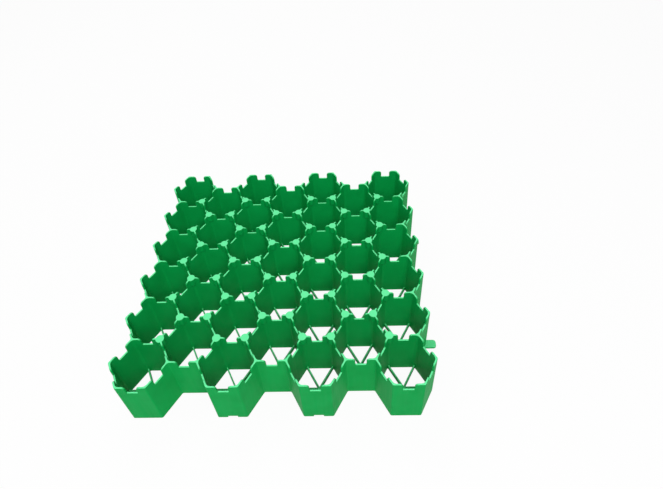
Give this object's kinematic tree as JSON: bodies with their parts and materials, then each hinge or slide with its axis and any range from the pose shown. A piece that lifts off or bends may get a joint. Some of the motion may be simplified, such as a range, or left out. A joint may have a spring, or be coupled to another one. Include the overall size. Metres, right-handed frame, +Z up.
{
  "type": "grass paver grid",
  "caption": "Honeycomb plastic ground grid with notched cell walls, corner bosses and base ribs, laid flat and filled with soil or gravel to carry traffic on turf.",
  "frame": {"origin": "on the underside, where the ribs of the middle cell cross, at the centre of the grid of cells", "axes": "+X across the columns of cells, +Y along the columns towards the back tongues, +Z up from the underside"},
  "size_m": [0.423, 0.4002, 0.08],
  "materials": {
    "green_polyethylene": "satin"
  },
  "bodies": {
    "root": {"paver_grid": "green_polyethylene"}
  },
  "joints": []
}
